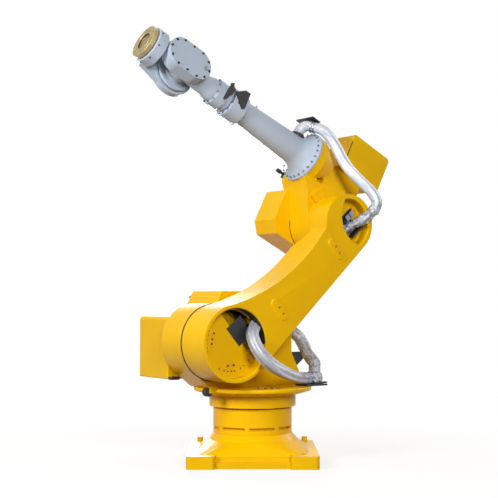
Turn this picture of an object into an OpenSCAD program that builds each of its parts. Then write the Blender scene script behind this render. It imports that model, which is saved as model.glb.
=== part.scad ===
// Six-axis industrial robot arm on a square foot, in millimetres.
// Origin on the floor at the first axis, X to the front of the foot, Z up.
// All pieces stand in the folded-back rest pose that the pose angles below give.

/* [Foot] */
// Width of the foot across its corner pads
foot_width = 750; // [680:10:820]
// Height of the corner pads
pad_height = 74; // [60:1:90]
// Side of one corner pad
pad_side = 165; // [140:5:190]
// How far a pad stands out from the sides of the foot
pad_proud = 26; // [15:1:40]
// Height of the foot's rim between the pads
rim_height = 36; // [30:1:44]
// Width of the rails that join the pads along both sides
rail_width = 56; // [40:2:70]
// Diameter of the anchor hole in each pad
anchor_hole = 33; // [24:1:40]
// Height where the bell of the foot meets the round housing
bell_height = 170; // [150:1:190]
// Radius of the round housing of the first axis
drum_r = 232; // [210:1:250]
// Height of the turning seam of the first axis
seam_height = 320; // [290:1:340]

/* [Turntable] */
// Radius of the skirt ring under the turntable
skirt_r = 255; // [252:1:280]
// Height of the skirt ring
skirt_height = 68; // [50:1:90]
// Radius of the turntable plate
table_r = 348; // [320:1:380]
// Thickness of the turntable plate
table_thick = 46; // [30:1:60]

/* [Shoulder] */
// Distance of the second axis in front of the first axis
shoulder_x = 310; // [280:1:340]
// Height of the second axis
shoulder_z = 704; // [680:1:740]
// Radius of the shoulder drum
shoulder_r = 222; // [205:1:235]
// Width of the shoulder casting away from the arm seam
shoulder_width = 224; // [200:1:260]
// Length of the front motor cover
cover_length = 330; // [300:5:350]
// Depth of the motor covers sideways
cover_depth = 325; // [280:5:360]
// Height of the front motor cover
cover_height = 364; // [320:2:400]
// Height of the rear motor cover above the turntable
rear_cover_height = 560; // [480:5:620]

/* [Lower arm] */
// Distance from the second to the third axis
arm_length = 1079; // [1000:1:1150]
// Radius of the arm at the second axis
arm_low_r = 220; // [208:1:235]
// Radius of the arm at the third axis
arm_top_r = 178; // [170:1:190]
// Thickness of the arm sideways
arm_thick = 230; // [200:1:260]
// Distance of the arm seam from the middle plane
arm_seam = 60; // [50:1:70]
// Distance of the elbow seam from the middle plane
elbow_seam = 133; // [120:1:145]
// Radius of the round recess over the second axis
recess_r = 197; // [180:1:202]
// Depth of the recesses over both axes
recess_depth = 70; // [60:1:80]
// Further depth of the cavity where the hose comes out of the arm
cavity_depth = 100; // [80:5:120]
// Distance of the hollow front edge's centre in front of the arm
hollow_v = 1209; // [1100:1:1300]
// Distance of the hollow front edge's centre along the arm
hollow_u = 643; // [600:1:690]

/* [Elbow] */
// Distance of the forearm line above the third axis
forearm_offset = 316; // [290:1:340]
// Distance of the forearm flange in front of the third axis
flange_x = 296; // [280:1:320]
// Radius of the elbow drum
elbow_r = 170; // [155:1:176]
// Width of the elbow drum away from the arm seam
elbow_width = 320; // [290:1:350]
// Width of the rear motor cover of the elbow
box_width = 200; // [180:2:220]
// Length of the rear motor cover of the elbow
box_length = 328; // [300:2:360]

/* [Forearm] */
// Radius of the forearm flange
flange_r = 163; // [150:1:175]
// Thickness of the forearm flange
flange_thick = 24; // [18:1:32]
// Radius of the forearm tube near its flange
tube_r = 88; // [80:1:96]
// Radius of the forearm tube at its front end
tube_tip_r = 71; // [62:1:78]
// Length of the forearm from flange to bearing ring
tube_length = 536; // [480:1:600]
// Radius of the bearing ring
bearing_r = 92; // [86:1:100]
// Length of the bearing ring
bearing_length = 112; // [90:1:130]

/* [Wrist] */
// Radius of the front ring of the wrist
ring_r = 82; // [76:1:90]
// Length of the front ring
ring_length = 70; // [50:1:90]
// Radius of the wrist neck
neck_r = 61; // [52:1:66]
// Distance from the bearing ring to the fifth axis
neck_reach = 353; // [340:1:380]
// Half width of the gear case
case_r = 97; // [90:1:104]
// Distance of the gear case's front rounding before the fifth axis
case_front = 74; // [64:1:82]
// Distance of the gear case's rear rounding behind the fifth axis
case_tail = 30; // [22:1:40]
// Distance of the gear case's near side from the middle plane
case_side = 112; // [104:1:118]
// Radius of the bend drum
bend_r = 134; // [126:1:138]
// Radius of the housing behind the tool flange
unit_r = 110; // [104:1:114]
// Distance from the fifth axis to the tool face
tool_reach = 277; // [268:1:290]

/* [Tool flange] */
// Diameter of the tool flange
tool_d = 200; // [190:1:208]
// Thickness of the tool flange
tool_thick = 27; // [22:1:32]
// Pitch circle of the tool flange holes
tool_pcd = 160; // [150:1:168]
// Diameter of the centring bore of the tool flange
tool_bore = 100; // [80:1:110]
// Number of threaded holes in the tool flange
tool_holes = 6; // [4:1:12]

/* [Hoses] */
// Outer diameter of the sleeved hoses
hose_d = 68; // [60:1:74]

/* [Rest pose] */
// Turn of the carousel
turn = 35; // [-170:1:170]
// Backward lean of the lower arm from upright
lean = 49.5; // [0:0.5:55]
// Rise of the forearm above level
rise = 27; // [0:0.5:40]
// Roll of the wrist, cover side up
roll = 15; // [-90:0.5:90]
// Downward bend of the tool
bend = 0; // [-90:0.5:90]

/* [Hidden] */
$fn = 96;
// Width of an open seam between turning pieces
seam = 6;
// Radial play of a bearing spigot
play = 0.4;
// Length of a bearing spigot
spigot = 34;
// Thickness of cover sheet edges and chamfers
chamfer = 16;
// Corner rounding of the foot
foot_round = 26;

foot_half = foot_width / 2;
foot_side = foot_width - 2 * pad_proud;
pad_centre = foot_half - pad_side / 2;
levelling_x = foot_half - 52;
levelling_y = foot_half - 45;
levelling_d = 40;
skirt_side = foot_side - 44;
skirt_round = 80;
skirt_top = rim_height + 30;
bell_r = drum_r + 32;
bell_mid = bell_height - 36;
slit_height = 17;
slit_z = bell_height + 25;
slit_depth = 20;
slit_tabs = 8;
slit_tab_angle = 7;
slit_turn = 37;

skirt_z = seam_height + seam;
table_z = skirt_z + skirt_height;
table_top = table_z + table_thick;
table_step = 16;
table_edge = 22;
axis1_spigot_r = 150;

wall_x = -250;
wall_top = 815;
wall_foot = 630;
wall_flare = 98;
cover_drop = 36;
cover_cut_x = 44;
cover_cut_z = 75;
rear_cover_length = 320;
shoulder_y0 = arm_seam - seam - shoulder_width;
shoulder_y1 = arm_seam - seam;
axis2_spigot_r = 120;
cover_y1 = shoulder_y0;
cover_y0 = cover_y1 - cover_depth;
front_cover_x1 = shoulder_x + 175;
front_cover_x0 = front_cover_x1 - cover_length;
front_cover_z = shoulder_z - cover_height / 2 - cover_drop;
rear_cover_x1 = front_cover_x0 - seam - cover_cut_x;
rear_cover_x0 = rear_cover_x1 - rear_cover_length;

arm_y0 = arm_seam;
arm_y1 = arm_seam + arm_thick;
recess_y = arm_y1 - recess_depth;
cavity_y = recess_y - cavity_depth;
cavity_r = recess_r - 8;
cavity_u = 64;
hollow_r = norm([hollow_v, hollow_u]) - arm_low_r + 1;
back_slope = asin((arm_low_r - arm_top_r) / arm_length);
axis3_spigot_r = 100;
mouth_r = arm_top_r - 30;
mouth_cut_r = 182;
mouth_cut = [-47, 126];
slope_top = arm_length - elbow_r - seam;
slope_low = slope_top - 110;
channel_wide = hose_d + 28;
channel_v = -34;
channel_y1 = arm_y1 - 24;
channel_y0 = channel_y1 - hose_d - 16;
channel_y = (channel_y0 + channel_y1) / 2;
channel_low = [84, 270];
channel_top = [arm_length - 170, arm_length + 74];
hose_plate_thick = 8;
plate_v = [-52, 78];
plate_u = [34, 150];
cheek_thick = 12;
cheek_v = (channel_wide + cheek_thick) / 2 + 1;
cheek_height = 50;
cheek_length = 100;
cheek_up = 32;
pad_rise = 7;
arm_pad_u = [342, arm_length - 186];
arm_pad_v = [-99, 3];
arm_pad_r = 24;
pad_hole_v = [-36, -82];
pad_hole_up = 8;
pad_hole_d = 14;

elbow_y1 = elbow_seam - seam;
elbow_y0 = elbow_y1 - elbow_width;
neck_y0 = -140;
elbow_flange_r = flange_r - 4;
neck_y1 = elbow_y1 - 30;
neck_front = flange_x - 52;
step_r = 232;
back_x = -150;
pocket_depth = 36;
front_box_y0 = -292;
front_box_y1 = -80;
front_box_x = 272;
front_box_z0 = -168;
front_box_z1 = 110;
front_box_bend = -100;
rear_box_x1 = 82;
rear_box_x0 = rear_box_x1 - box_length;
rear_box_z0 = 376;
rear_box_z1 = 614;

flare_r = 110;
flare_rise = 54;
flare_length = sqrt(flare_r * flare_r - (flare_r - flare_rise) * (flare_r - flare_rise));
collar_x = flange_x + tube_length + bearing_length;
bearing_x = flange_x + tube_length;
roll_x = collar_x + seam;
ring_x = roll_x + 34;
bend_x = collar_x + neck_reach;
axis4_spigot_r = 52;
case_y0 = -20;
case_y1 = case_side;
cover_thick = 8;
case_mid = 36;
case_back = case_tail + case_r + 2;
boss_r = 80;
drum_y1 = case_y0 - seam;
disc_y = drum_y1 - 20;
disc_r = bend_r - 15;
drum_y = disc_y - 26;
drum_y0 = drum_y - 58;
axis5_spigot_r = 56;
unit_x0 = case_front + case_r + seam;
unit_x1 = tool_reach - tool_thick - seam;
axis6_spigot_r = 56;

hose_r = hose_d / 2;
hose_sides = 10;
gland_x = flange_x + 106;
gland_top = 104;
pin_block = 30;
pin_low = 124;
pin_d = 16;
pin_length = 55;
bridge_x = flange_x + 42;
bridge_z = forearm_offset + 216;
bridge_side = 84;
bridge_deep = 66;
bridge_thick = 8;
leg_wide = 40;
clamp_half = 36;
clamp_x = 30 - table_r;
clamp_y = 190;
shelf_thick = 10;
shelf_top = table_top + shelf_thick;
shelf_length = 150;
shelf_width = 120;
shelf_over = clamp_half + 14;
tongue_length = 36;
tongue_width = 26;
gusset_thick = 10;
gusset_length = 150;
gusset_edge = 28;
gusset_drop = 110;
stop_r = 25;
stop_out = 24;
stop_y = 64;
stop_length = 36;
stop_plate = 12;
plug_in = 5;
plug_length = 55;
plug_depth = 40;
plug_height = 18;
plug_drop = 2;
// Gap between a hose end and the face it meets
hose_gap = 0.3;
// Free points of the hose routes: the lower one from the shoulder axis and the arm's near face,
// the rear one from the shoulder wall, the upper one from the elbow axis and the arm's near face
lower_route = [
  [-118, -24, 58], [-97, 20, 14], [-103, 52, -37], [-147, 60, -89], [-214, 50, -132],
  [-306, 18, -168], [-414, -44, -196]
];
rear_route = [[0, 0, 752], [-40, 0, 752], [-74, 26, 722], [-84, 64, 672], [-80, 110, 622], [-74, 154, 590]];
upper_route = [
  [-46, -46, 14], [-69, 0, 62], [-90, 40, 116], [-95, 58, 166], [-77, 54, 206], [-34, 30, 243],
  [30, -8, 273], [105, -48, 309], [164, -84, 357], [216, -116, 414], [269, -150, 464],
  [315, -183, 489], [352, -232, 495], [389, -270, 487]
];

yellow = "#E0AC00";
grey = "#B4BCC8";
black = "#1A1A1A";
gold = "#A89050";
silver = "#C8CCD6";

// Frames of the moving groups in the rest pose
module at_carousel() rotate([0, 0, turn]) children();
module at_shoulder() at_carousel() translate([shoulder_x, 0, shoulder_z]) rotate([0, -lean, 0]) children();
module at_elbow() at_shoulder() translate([0, 0, arm_length]) rotate([0, lean - rise, 0]) children();
module at_roll() at_elbow() translate([0, 0, forearm_offset]) rotate([roll, 0, 0]) children();
module at_bend() at_roll() translate([bend_x, 0, 0]) rotate([0, bend, 0]) children();

// A side-view outline, drawn as x and z, made solid from y0 to y1
module side_solid(y0, y1) translate([0, y1, 0]) rotate([90, 0, 0]) linear_extrude(y1 - y0) children();
// A turned piece about X or Y, its outline drawn as radius and length
module about_x() rotate([0, 90, 0]) rotate_extrude() children();
module about_y() rotate([-90, 0, 0]) rotate_extrude() children();

module rounded_square(side, r) {
  square([side - 2 * r, side], center = true);
  square([side, side - 2 * r], center = true);
  for (x = [-1, 1], y = [-1, 1])
    translate([x * (side / 2 - r), y * (side / 2 - r)]) circle(r);
}

// Bell of the foot: a square skirt that runs up into a round collar
module bell() {
  linear_extrude(skirt_top) rounded_square(skirt_side, skirt_round);
  hull() {
    translate([0, 0, rim_height])
      linear_extrude(skirt_top - rim_height) rounded_square(skirt_side - 3, skirt_round);
    translate([0, 0, bell_mid - 1]) cylinder(r = bell_r, h = 1);
  }
  translate([0, 0, bell_mid]) cylinder(r1 = bell_r - 0.5, r2 = drum_r, h = bell_height - bell_mid);
}

// Foot: a square plate with a bell on it and four pads for the anchor bolts
module foot() color(yellow) difference() {
  union() {
    linear_extrude(rim_height) rounded_square(foot_side, foot_round);
    bell();
    for (x = [-1, 1], y = [-1, 1])
      translate([x * pad_centre, y * pad_centre, 0])
        linear_extrude(pad_height) rounded_square(pad_side, foot_round);
    for (x = [-1, 1])
      translate([x * (foot_half - rail_width / 2), 0, 0])
        linear_extrude(pad_height) square([rail_width, 2 * pad_centre], center = true);
  }
  for (x = [-1, 1], y = [-1, 1])
    translate([x * pad_centre, y * pad_centre, -1]) cylinder(d = anchor_hole, h = bell_height);
  for (x = [-1, 1])
    translate([x * levelling_x, -levelling_y, pad_height]) cylinder(d = levelling_d + 8, h = bell_height);
}

module axis_1_housing() color(yellow) difference() {
  union() {
    translate([0, 0, bell_height]) cylinder(r = drum_r, h = seam_height - bell_height);
    translate([0, 0, seam_height]) cylinder(r = axis1_spigot_r, h = spigot);
  }
  for (i = [0 : slit_tabs - 1])
    rotate([0, 0, 360 / slit_tabs * i + slit_turn + slit_tab_angle / 2])
      rotate_extrude(angle = 360 / slit_tabs - slit_tab_angle)
        translate([drum_r - slit_depth, slit_z]) square([slit_depth + 2, slit_height]);
}

module levelling_bolts() color(yellow)
  for (x = [-1, 1])
    translate([x * levelling_x, -levelling_y, pad_height]) {
      cylinder(d = levelling_d, h = 4);
      translate([0, 0, 4]) cylinder(d = 36, h = 22, $fn = 6);
    }

// Carousel
module turntable_ring() color(yellow) at_carousel() translate([0, 0, skirt_z]) difference() {
  cylinder(r = skirt_r, h = skirt_height);
  translate([0, 0, -1]) cylinder(r = axis1_spigot_r + play, h = spigot);
}

module turntable_plate() color(yellow) at_carousel() rotate_extrude() polygon([
  [0, table_z], [skirt_r + table_step, table_z], [table_r, table_top - table_edge],
  [table_r, table_top], [0, table_top]
]);

module shoulder_outline() {
  translate([shoulder_x, shoulder_z]) circle(shoulder_r);
  polygon([
    [wall_x - wall_flare, table_top], [shoulder_x + 20, table_top],
    [shoulder_x + shoulder_r * cos(-42), shoulder_z + shoulder_r * sin(-42)],
    [shoulder_x, shoulder_z],
    [shoulder_x - shoulder_r * sin(24), shoulder_z + shoulder_r * cos(24)],
    [wall_x + 40, wall_top], [wall_x, wall_top - 40], [wall_x, wall_foot]
  ]);
}

module shoulder_casting() color(yellow) at_carousel() difference() {
  side_solid(shoulder_y0, shoulder_y1) shoulder_outline();
  translate([shoulder_x, shoulder_y1 - spigot - 1, shoulder_z])
    rotate([-90, 0, 0]) cylinder(r = axis2_spigot_r + play, h = spigot + 2);
}

// A sheet cover seen from the front: a block with its long edges cut off
module cover_outline(w, h, c) polygon([
  [0, 0], [w, 0], [w, h - c], [w - c, h], [c, h], [0, h - c]
]);

module front_motor_cover() color(yellow) at_carousel()
  translate([front_cover_x0, 0, front_cover_z])
    side_solid(cover_y0, cover_y1) cover_outline(cover_length, cover_height, chamfer);

module rear_motor_cover() color(yellow) at_carousel()
  translate([rear_cover_x0, 0, table_top])
    side_solid(cover_y0, cover_y1) polygon([
      [0, 0], [rear_cover_length + cover_cut_x, 0],
      [rear_cover_length + cover_cut_x, rear_cover_height - cover_cut_z],
      [rear_cover_length, rear_cover_height], [chamfer, rear_cover_height],
      [0, rear_cover_height - chamfer]
    ]);

module front_motor_plug() color(black) at_carousel()
  translate([front_cover_x1 - plug_in - plug_length, cover_y1, front_cover_z - plug_drop])
    cube([plug_length, plug_depth, plug_height]);

module stop_bracket() color(yellow) at_carousel() difference() {
  translate([table_r - stop_r, stop_y + stop_length, table_top - table_edge])
    cube([stop_r + stop_out, stop_plate, table_edge + stop_plate]);
  translate([0, 0, table_z]) cylinder(r = table_r, h = table_thick);
}

module stop_buffer() color(black) at_carousel()
  translate([table_r + stop_out, stop_y, table_top - table_edge + 6])
    rotate([-90, 0, 0]) cylinder(r = stop_r, h = stop_length);

// Shelf for the hoses on the turntable's rear edge, with a narrow tongue
module hose_shelf() color(black) at_carousel() translate([clamp_x - shelf_over, clamp_y, table_top]) {
  translate([0, -shelf_width / 2, 0]) cube([shelf_length, shelf_width, shelf_thick]);
  translate([-tongue_length, -tongue_width / 2, shelf_thick - 1])
    cube([tongue_length + 12, tongue_width, shelf_thick]);
}

module hose_gusset() color(black) at_carousel() side_solid(-gusset_thick, 0) difference() {
  polygon([
    [wall_x + 5, wall_foot], [wall_x - gusset_length, wall_foot],
    [wall_x - gusset_length, wall_foot - gusset_edge], [wall_x - gusset_length / 3, wall_foot - gusset_drop]
  ]);
  shoulder_outline();
}

// The wrapped knot where the two hoses meet, with a flat face to each hose and to the shelf
module hose_clamp() color(silver) at_carousel()
  translate([clamp_x, clamp_y, shelf_top + clamp_half]) intersection() {
    cube(2 * clamp_half, center = true);
    sphere(clamp_half * 1.4);
  }

// Lower arm: two discs joined by a straight back and a hollow front edge
module arm_outline() {
  circle(arm_low_r);
  translate([0, arm_length]) circle(arm_top_r);
  difference() {
    polygon([
      [-arm_low_r * cos(back_slope), arm_low_r * sin(back_slope)], [0, 0],
      [arm_low_r * 0.8, arm_low_r * 0.4], [arm_low_r + 20, hollow_u - 150],
      [arm_top_r, arm_length], [0, arm_length],
      [-arm_top_r * cos(back_slope), arm_length + arm_top_r * sin(back_slope)]
    ]);
    translate([hollow_v, hollow_u]) circle(hollow_r, $fn = 240);
  }
}

module mouth_outline() translate([0, arm_length]) intersection() {
  circle(mouth_r);
  translate(mouth_cut) circle(mouth_cut_r);
}

// The room beside the arm's upper end for the elbow drum, drawn as y and z
module elbow_room() translate([-arm_low_r, 0, 0]) rotate([90, 0, 90]) linear_extrude(2 * arm_low_r)
  polygon([
    [arm_y0 - 1, slope_low - 2], [elbow_seam, slope_top],
    [elbow_seam, arm_length + arm_top_r + 1], [arm_y0 - 1, arm_length + arm_top_r + 1]
  ]);

module cavity_outline() intersection() {
  circle(cavity_r);
  translate([-cavity_r, cavity_u]) square([2 * cavity_r, cavity_r]);
}

module lower_arm() color(yellow) at_shoulder() difference() {
  union() {
    difference() {
      side_solid(arm_y0, arm_y1) arm_outline();
      elbow_room();
    }
    for (u = arm_pad_u)
      side_solid(arm_y1 - 1, arm_y1 + pad_rise) translate([0, u]) {
        translate([arm_pad_v[0], -arm_pad_r]) square([arm_pad_v[1] - arm_pad_v[0], 2 * arm_pad_r]);
        for (v = arm_pad_v) translate([v, 0]) circle(arm_pad_r);
      }
    translate([0, arm_y0 - spigot, 0]) rotate([-90, 0, 0]) cylinder(r = axis2_spigot_r, h = spigot + 1);
    translate([0, elbow_seam - spigot, arm_length])
      rotate([-90, 0, 0]) cylinder(r = axis3_spigot_r, h = spigot + 1);
  }
  side_solid(recess_y, arm_y1 + 1) circle(recess_r);
  side_solid(cavity_y, recess_y + 1) cavity_outline();
  side_solid(recess_y, arm_y1 + 1) mouth_outline();
  for (u = [channel_low, channel_top])
    translate([channel_v - channel_wide / 2, channel_y0, u[0]])
      cube([channel_wide, channel_y1 - channel_y0, u[1] - u[0]]);
  for (u = arm_pad_u, v = pad_hole_v)
    translate([v, arm_y1 - 30, u + pad_hole_up])
      rotate([-90, 0, 0]) cylinder(d = pad_hole_d, h = 60);
}

module recess_plate() color(black) at_shoulder() side_solid(recess_y, recess_y + hose_plate_thick)
  polygon([
    [plate_v[0], plate_u[0]], [plate_v[1], plate_u[0]], [plate_v[1], plate_u[1]],
    [channel_v + channel_wide / 2 + 4, plate_u[1]],
    [channel_v + channel_wide / 2 + 4, channel_low[0] - 4], [plate_v[0], channel_low[0] - 4]
  ]);

// Two cheeks that hold the hose where it leaves the mouth
module elbow_hose_clamp() color(black) at_shoulder()
  for (side = [-1, 1])
    translate([channel_v + side * cheek_v, recess_y + cheek_height / 2, arm_length + cheek_up])
      cube([cheek_thick, cheek_height, cheek_length], center = true);

// Elbow: a drum on the third axis, a step round it and a neck that rises to the forearm flange
module elbow_neck() polygon([
  [-elbow_r * cos(35), elbow_r * sin(35)], [-10, forearm_offset - 54], [113, forearm_offset + 15],
  [flange_x - 41, forearm_offset + 70], [flange_x, forearm_offset + 70],
  [flange_x, forearm_offset - elbow_flange_r + 8], [neck_front, 112],
  [elbow_r * cos(24), -elbow_r * sin(24)], [0, 0]
]);

module elbow_step() intersection() {
  circle(step_r);
  polygon([[0, 0], [2 * step_r * cos(20), 2 * step_r * sin(20)], [2 * step_r, 2 * step_r], [0, 2 * step_r]]);
}

module elbow_back() polygon([
  [back_x, 80], [back_x, rear_box_z0], [rear_box_x1 + 60, rear_box_z0], [200, forearm_offset],
  [100, 150], [0, 80]
]);

module neck_pocket() polygon([
  [neck_front - 22, forearm_offset - 60], [192, forearm_offset - 36], [156, forearm_offset - 112],
  [neck_front - 34, forearm_offset - 130]
]);

module elbow_casting() color(yellow) at_elbow() difference() {
  union() {
    side_solid(elbow_y0, elbow_y1) circle(elbow_r);
    side_solid(0, elbow_y1) elbow_step();
    side_solid(neck_y0, neck_y1) elbow_neck();
    side_solid(-box_width / 2, box_width / 2 - 60) elbow_back();
    translate([0, 0, forearm_offset]) about_x() polygon([
      [0, 100], [110, 140], [elbow_flange_r, flange_x - 50], [elbow_flange_r, flange_x], [0, flange_x]
    ]);
  }
  side_solid(neck_y1 - pocket_depth, neck_y1 + 1) neck_pocket();
  translate([0, elbow_y1 - spigot - 1, 0])
    rotate([-90, 0, 0]) cylinder(r = axis3_spigot_r + play, h = spigot + 2);
}

module elbow_front_cover() color(yellow) at_elbow() difference() {
  side_solid(front_box_y0, front_box_y1) polygon([
    [90, front_box_z1], [front_box_x, front_box_z1], [front_box_x, front_box_bend],
    [front_box_x - 54, front_box_z0], [-40, front_box_z0]
  ]);
  side_solid(elbow_y0 - 1, elbow_y1 + 1) circle(elbow_r + 0.5);
  side_solid(neck_y0 - 0.5, elbow_y1 + 1) offset_neck();
}

// The neck with a thin gap round it, for the cover that fits against it
module offset_neck() {
  elbow_neck();
  translate([0.5, 0]) elbow_neck();
}

module elbow_rear_cover() color(yellow) at_elbow()
  side_solid(-box_width / 2, box_width / 2)
    translate([rear_box_x0, rear_box_z0]) cover_outline(box_length, rear_box_z1 - rear_box_z0, chamfer);

// Forearm: a thin bolted flange, a hollow flare and a tube that tapers to the bearing ring
module tube_body() rotate_extrude() difference() {
  polygon([
    [0, 0], [flange_r, 0], [flange_r, flange_thick], [tube_r + flare_rise, flange_thick],
    [tube_r, flange_thick + flare_length], [tube_tip_r, tube_length], [0, tube_length]
  ]);
  translate([tube_r + flare_r, flange_thick + flare_length]) circle(flare_r);
}

module forearm_tube() color(grey) at_elbow() translate([flange_x, 0, forearm_offset])
  rotate([0, 90, 0]) tube_body();

module bearing_ring() color(grey) at_elbow() translate([bearing_x, 0, forearm_offset]) difference() {
  about_x() polygon([
    [0, 0], [bearing_r - 8, 0], [bearing_r, 8], [bearing_r, bearing_length], [0, bearing_length]
  ]);
  translate([bearing_length - spigot - 1, 0, 0])
    rotate([0, 90, 0]) cylinder(r = axis4_spigot_r + play, h = spigot + 2);
}

module hose_gland() color(black) at_elbow() translate([gland_x, 0, forearm_offset]) difference() {
  cylinder(r = hose_r + 8, h = gland_top);
  translate([-gland_x + flange_x, 0, 0]) rotate([0, 90, 0]) tube_body();
}

// Bridge over the hose: a plate on one leg that stands on the forearm's flare
module hose_bridge() color(black) at_elbow() difference() {
  union() {
    translate([bridge_x, -bridge_side, bridge_z]) cube([bridge_deep, 2 * bridge_side, bridge_thick]);
    translate([bridge_x, -bridge_side, forearm_offset])
      cube([bridge_thick, leg_wide, bridge_z - forearm_offset + 1]);
  }
  translate([flange_x, 0, forearm_offset]) rotate([0, 90, 0]) tube_body();
}

module limit_pin() color(black) at_elbow()
  translate([flange_x - pin_block, neck_y0 - pin_block, forearm_offset - pin_low]) {
    cube([pin_block, pin_block, 40]);
    translate([pin_block - 1, pin_block / 2, 24]) rotate([0, 90, 0]) cylinder(d = pin_d, h = pin_length);
  }

// Two plates that guide a lead across the seam of the fourth axis
module fixed_cable_bracket() color(black) at_elbow() translate([bearing_x, 0, forearm_offset]) difference() {
  union() {
    side_solid(bearing_r, bearing_r + 8) polygon([
      [133, 38], [75, 82], [37, 84], [34, -18], [52, -29], [94, 7]
    ]);
    translate([46, 60, -10]) cube([40, bearing_r - 60, 44]);
  }
  rotate([0, 90, 0]) cylinder(r = bearing_r, h = bearing_length);
}

// Wrist
module wrist_neck() color(grey) at_roll() union() {
  translate([roll_x, 0, 0]) about_x() polygon([
    [0, -spigot], [axis4_spigot_r, -spigot], [axis4_spigot_r, 0], [ring_r - 8, 0], [ring_r - 8, 34],
    [ring_r, 34], [ring_r, 34 + ring_length], [neck_r + 10, 34 + ring_length],
    [neck_r + 10, 62 + ring_length], [neck_r, 96 + ring_length],
    [neck_r, bend_x - roll_x - case_back], [0, bend_x - roll_x - case_back]
  ]);
}

// Gear case of the wrist: a long rounded side, a boss to the drum and a stub to the neck
module case_outline() {
  translate([case_front, 0]) circle(case_r);
  translate([-case_tail, 0]) circle(case_r);
  translate([-case_tail, -case_r]) square([case_front + case_tail, 2 * case_r]);
}

module wrist_case() color(grey) at_roll() translate([bend_x, 0, 0]) difference() {
  union() {
    side_solid(case_mid, case_y1) case_outline();
    side_solid(case_y0, case_mid) circle(boss_r);
    translate([-case_back, 0, 0]) rotate([0, 90, 0]) cylinder(r = neck_r, h = case_back - seam);
  }
  side_solid(-neck_r - 1, case_y0) circle(bend_r + seam);
  translate([0, case_y0 - 1, 0]) rotate([-90, 0, 0]) cylinder(r = axis5_spigot_r + play, h = spigot + 2);
}

module wrist_cover() color(grey) at_roll() translate([bend_x, 0, 0])
  side_solid(case_y1, case_y1 + cover_thick) case_outline();

module turning_cable_bracket() color(black) at_roll()
  rotate([-roll, 0, 0]) translate([roll_x, 0, 0]) difference() {
  union() {
    side_solid(ring_r, ring_r + 8) polygon([[58, 72], [38, 84], [24, 39], [34, 0], [50, -34]]);
    translate([36, 50, 0]) cube([14, ring_r - 50, 40]);
  }
  rotate([0, 90, 0]) cylinder(r = ring_r, h = 34 + ring_length);
}

// Bend drum: a near disc, a groove, a wide body and an arm to the flange housing
module bend_drum() color(grey) at_bend() difference() {
  union() {
    about_y() polygon([
      [0, drum_y0], [bend_r - 26, drum_y0], [bend_r, drum_y0 + 18], [bend_r, drum_y],
      [disc_r - 12, drum_y], [disc_r - 12, drum_y + 8], [disc_r, drum_y + 8], [disc_r, disc_y],
      [boss_r, disc_y], [boss_r, drum_y1],
      [axis5_spigot_r, drum_y1], [axis5_spigot_r, drum_y1 + spigot], [0, drum_y1 + spigot]
    ]);
    side_solid(drum_y - 36, drum_y - 2) polygon([
      [0, bend_r - 4], [unit_x0 + 30, unit_r - 34], [unit_x0 + 30, 34 - unit_r], [0, 4 - bend_r]
    ]);
  }
  translate([unit_x0, 0, 0]) rotate([0, 90, 0]) cylinder(r = unit_r, h = 100);
}

module flange_housing() color(grey) at_bend() difference() {
  translate([unit_x0, 0, 0]) rotate([0, 90, 0]) cylinder(r = unit_r, h = unit_x1 - unit_x0);
  translate([unit_x1 - spigot - 1, 0, 0])
    rotate([0, 90, 0]) cylinder(r = axis6_spigot_r + play, h = spigot + 2);
}

module tool_flange() color(gold) at_bend() difference() {
  union() {
    translate([tool_reach - tool_thick, 0, 0]) rotate([0, 90, 0]) cylinder(d = tool_d, h = tool_thick);
    translate([unit_x1 - spigot, 0, 0]) rotate([0, 90, 0]) cylinder(r = axis6_spigot_r, h = spigot + seam + 1);
  }
  translate([tool_reach - 12, 0, 0]) rotate([0, 90, 0]) cylinder(d = tool_bore, h = 13);
  translate([tool_reach - 3, 0, 0]) about_x() translate([tool_bore / 2 + 12, 0]) square([5, 4]);
  for (i = [0 : tool_holes - 1])
    rotate([360 / tool_holes * i, 0, 0]) translate([tool_reach - 24, 0, tool_pcd / 2])
      rotate([0, 90, 0]) cylinder(d = 12, h = 25);
}

// Hoses: a smooth line through the route points, swept with a round section
function unit(v) = v / norm(v);
function blend(a, b, c, d, t) =
  0.5 * (2 * b + (c - a) * t + (2 * a - 5 * b + 4 * c - d) * t * t + (3 * b - a - 3 * c + d) * t * t * t);
function smooth(p, m) = [
  p[0],
  for (i = [1 : len(p) - 3], k = [0 : m - 1]) blend(p[i - 1], p[i], p[i + 1], p[i + 2], k / m),
  p[len(p) - 2],
  p[len(p) - 1]
];
function headings(p) = [
  for (i = [0 : len(p) - 1]) unit(p[min(i + 1, len(p) - 1)] - p[max(i - 1, 0)])
];
function across(n, t) = unit(n - t * (n * t));
function sides(t) = [
  for (i = 0, n = across([0.3, 0.2, 1], t[0]); i < len(t); i = i + 1, n = i < len(t) ? across(n, t[i]) : n) n
];
function rings(p, t, n, r, m) = [
  for (i = [0 : len(p) - 1], k = [0 : m - 1])
    p[i] + r * (cos(360 * k / m) * n[i] + sin(360 * k / m) * cross(t[i], n[i]))
];
function skin(count, m) = [
  [for (k = [0 : m - 1]) k],
  for (i = [0 : count - 2], k = [0 : m - 1]) [i * m + k, (i + 1) * m + k, i * m + (k + 1) % m],
  for (i = [0 : count - 2], k = [0 : m - 1])
    [(i + 1) * m + k, (i + 1) * m + (k + 1) % m, i * m + (k + 1) % m],
  [for (k = [m - 1 : -1 : 0]) (count - 1) * m + k]
];

module hose(route, steps) {
  line = smooth(route, steps);
  ahead = headings(line);
  polyhedron(rings(line, ahead, sides(ahead), hose_r, hose_sides), skin(len(line), hose_sides));
}

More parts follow.
